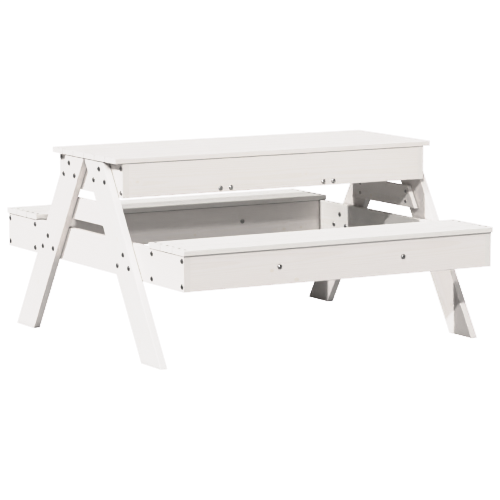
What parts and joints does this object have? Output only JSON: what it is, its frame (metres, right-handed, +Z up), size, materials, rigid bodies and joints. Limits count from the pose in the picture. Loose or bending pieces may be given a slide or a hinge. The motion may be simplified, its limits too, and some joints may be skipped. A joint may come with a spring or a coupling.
{
  "type": "picnic table with sandbox",
  "caption": "White painted children's picnic table with splayed board legs, benches on long crosspieces and a lift-off tabletop over a shallow sandbox.",
  "frame": {"origin": "On the ground, under the middle of the table, at the bottom centre of its bounding box.", "axes": "+X runs along the table and its benches, +Y from the front bench to the back bench, +Z is up."},
  "size_m": [0.9338, 0.9898, 0.4925],
  "materials": {
    "painted_boards": "white paint over planed pine, satin, faint grain and knots",
    "painted_decking": "white paint over planed pine, satin, faint grain",
    "plywood": "thin white paint over plywood, matt",
    "zinc_steel": "zinc-plated steel, slightly dull"
  },
  "bodies": {
    "frame": {"back_bench_inner_rail": "painted_boards", "back_bench_outer_rail": "painted_boards", "back_bench_rib_left": "painted_boards", "back_bench_rib_right": "painted_boards", "back_bench_seat_board_1": "painted_decking", "back_bench_seat_board_2": "painted_decking", "back_bench_seat_board_3": "painted_decking", "bench_rail_screws": "zinc_steel", "bench_rib_screws": "zinc_steel", "bench_support_left": "painted_boards", "bench_support_right": "painted_boards", "brace_left": "painted_boards", "brace_right": "painted_boards", "brace_screws": "zinc_steel", "floor_batten_left": "painted_boards", "floor_batten_right": "painted_boards", "floor_batten_screws": "zinc_steel", "floor_panel_screws": "zinc_steel", "front_bench_inner_rail": "painted_boards", "front_bench_outer_rail": "painted_boards", "front_bench_rib_left": "painted_boards", "front_bench_rib_right": "painted_boards", "front_bench_seat_board_1": "painted_decking", "front_bench_seat_board_2": "painted_decking", "front_bench_seat_board_3": "painted_decking", "leg_back_left": "painted_boards", "leg_back_right": "painted_boards", "leg_bolts": "zinc_steel", "leg_front_left": "painted_boards", "leg_front_right": "painted_boards", "leg_sleeve_nuts": "zinc_steel", "leg_top_screws": "zinc_steel", "sandbox_back_board": "painted_boards", "sandbox_corner_screws": "zinc_steel", "sandbox_end_left": "painted_boards", "sandbox_end_right": "painted_boards", "sandbox_floor_panel": "plywood", "sandbox_front_board": "painted_boards", "seat_screws": "zinc_steel"},
    "tabletop": {"tabletop_batten_1": "painted_boards", "tabletop_batten_2": "painted_boards", "tabletop_batten_3": "painted_boards", "tabletop_batten_screws": "zinc_steel", "tabletop_board_1": "painted_decking", "tabletop_board_2": "painted_decking", "tabletop_board_3": "painted_decking", "tabletop_board_4": "painted_decking", "tabletop_board_5": "painted_decking", "tabletop_board_6": "painted_decking"}
  },
  "joints": [
    {"name": "tabletop_lift", "type": "slide", "parent": "frame", "child": "tabletop", "axis": [0, 0, 1], "range_m": [0, 0.25]}
  ]
}
